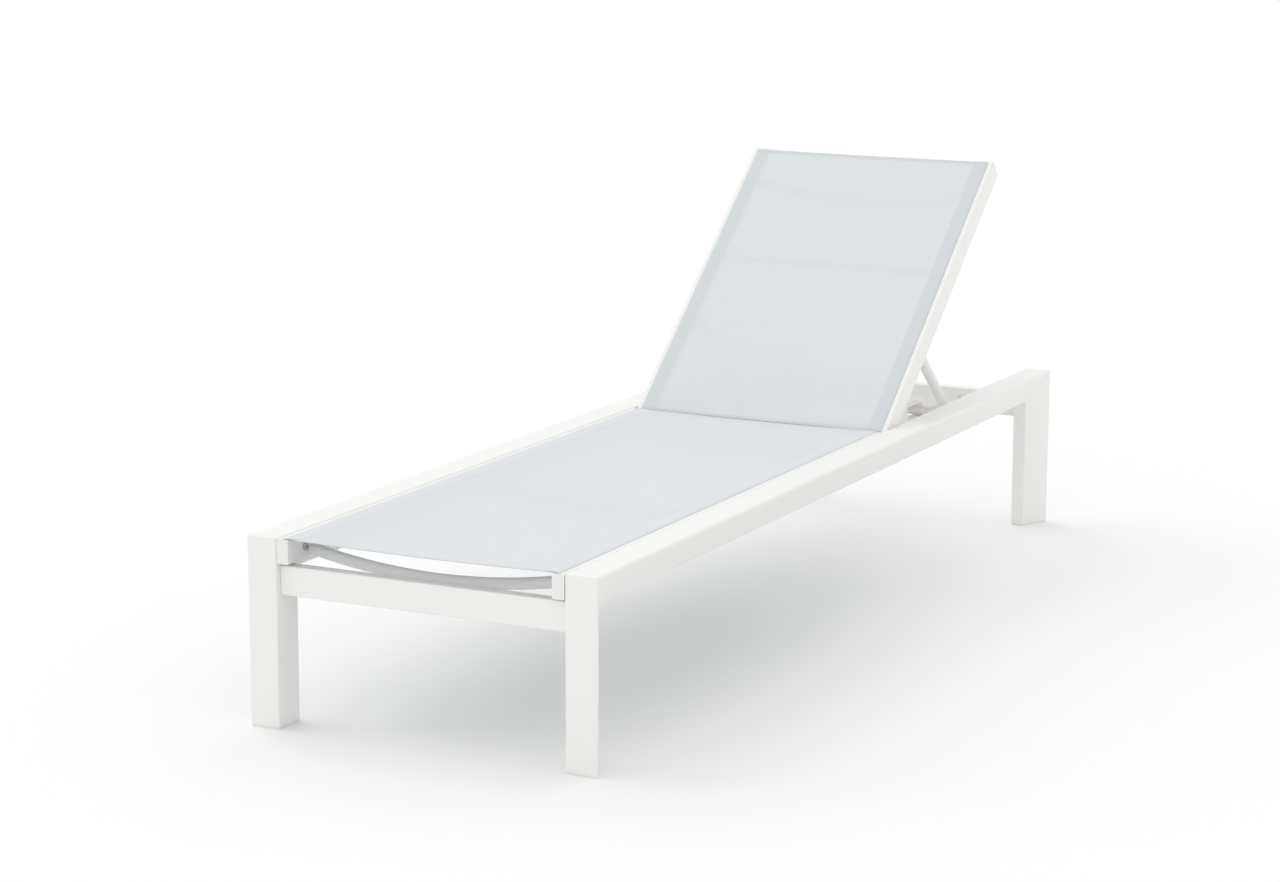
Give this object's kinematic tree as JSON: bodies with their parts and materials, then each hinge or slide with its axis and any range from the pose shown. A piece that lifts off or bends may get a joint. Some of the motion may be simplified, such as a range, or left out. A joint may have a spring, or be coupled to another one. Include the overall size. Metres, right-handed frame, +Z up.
{
  "type": "sun lounger",
  "caption": "Low white metal lounger with a pale stretched fabric seat and a reclining fabric backrest held by a prop stay on notched racks.",
  "frame": {"origin": "on the ground, under the middle of the lounger's length and width", "axes": "+X across the lounger, +Y from the foot end to the head end, +Z up"},
  "size_m": [0.6464, 2.05, 0.7807],
  "materials": {
    "white_coat": "satin white powder coat",
    "white_nylon": "matte",
    "dark_nylon": "matte",
    "sling_fabric": "fine open weave",
    "steel": "plain"
  },
  "bodies": {
    "frame": {"left_side_rail": "white_coat", "right_side_rail": "white_coat", "front_left_leg": "white_coat", "front_right_leg": "white_coat", "rear_left_leg": "white_coat", "rear_right_leg": "white_coat", "foot_glides": "white_nylon", "front_crossbeam": "white_coat", "rear_crossbeam": "white_coat", "rack_crossbar": "white_coat", "left_rack": "white_nylon", "right_rack": "white_nylon", "rack_screws": "steel", "left_seat_rail": "white_coat", "right_seat_rail": "white_coat", "seat_rail_caps": "white_nylon", "seat_foot_bow": "white_coat", "seat_middle_bow": "white_coat", "seat_head_bow": "white_coat", "seat_splines": "dark_nylon", "seat_sling": "sling_fabric", "seat_rail_spacers": "white_nylon", "seat_rail_bolts": "steel", "seat_rail_inserts": "steel", "hinge_bolts": "steel", "hinge_inserts": "steel"},
    "backrest": {"left_back_rail": "white_coat", "right_back_rail": "white_coat", "back_rail_caps": "white_nylon", "back_middle_bar": "white_coat", "back_top_bow": "white_coat", "back_splines": "dark_nylon", "backrest_sling": "sling_fabric", "hinge_bushes": "dark_nylon", "stay_bolts": "steel", "stay_inserts": "steel"},
    "stay": {"prop_stay": "white_coat", "stay_bushes": "dark_nylon", "stay_plugs": "white_nylon"}
  },
  "joints": [
    {"name": "back_recline", "type": "hinge", "parent": "frame", "child": "backrest", "pos_m": [0, 0.287, 0.291], "axis": [1, 0, 0], "range_deg": [-40.4, 11.6]},
    {"name": "stay_fold", "type": "hinge", "parent": "backrest", "child": "stay", "pos_m": [0, 0.48652, 0.46081], "axis": [1, 0, 0], "range_deg": [-23.2, 80.8]}
  ],
  "couplings": [
    {"joint": "stay_fold", "follows": "back_recline", "ratio": -2}
  ]
}
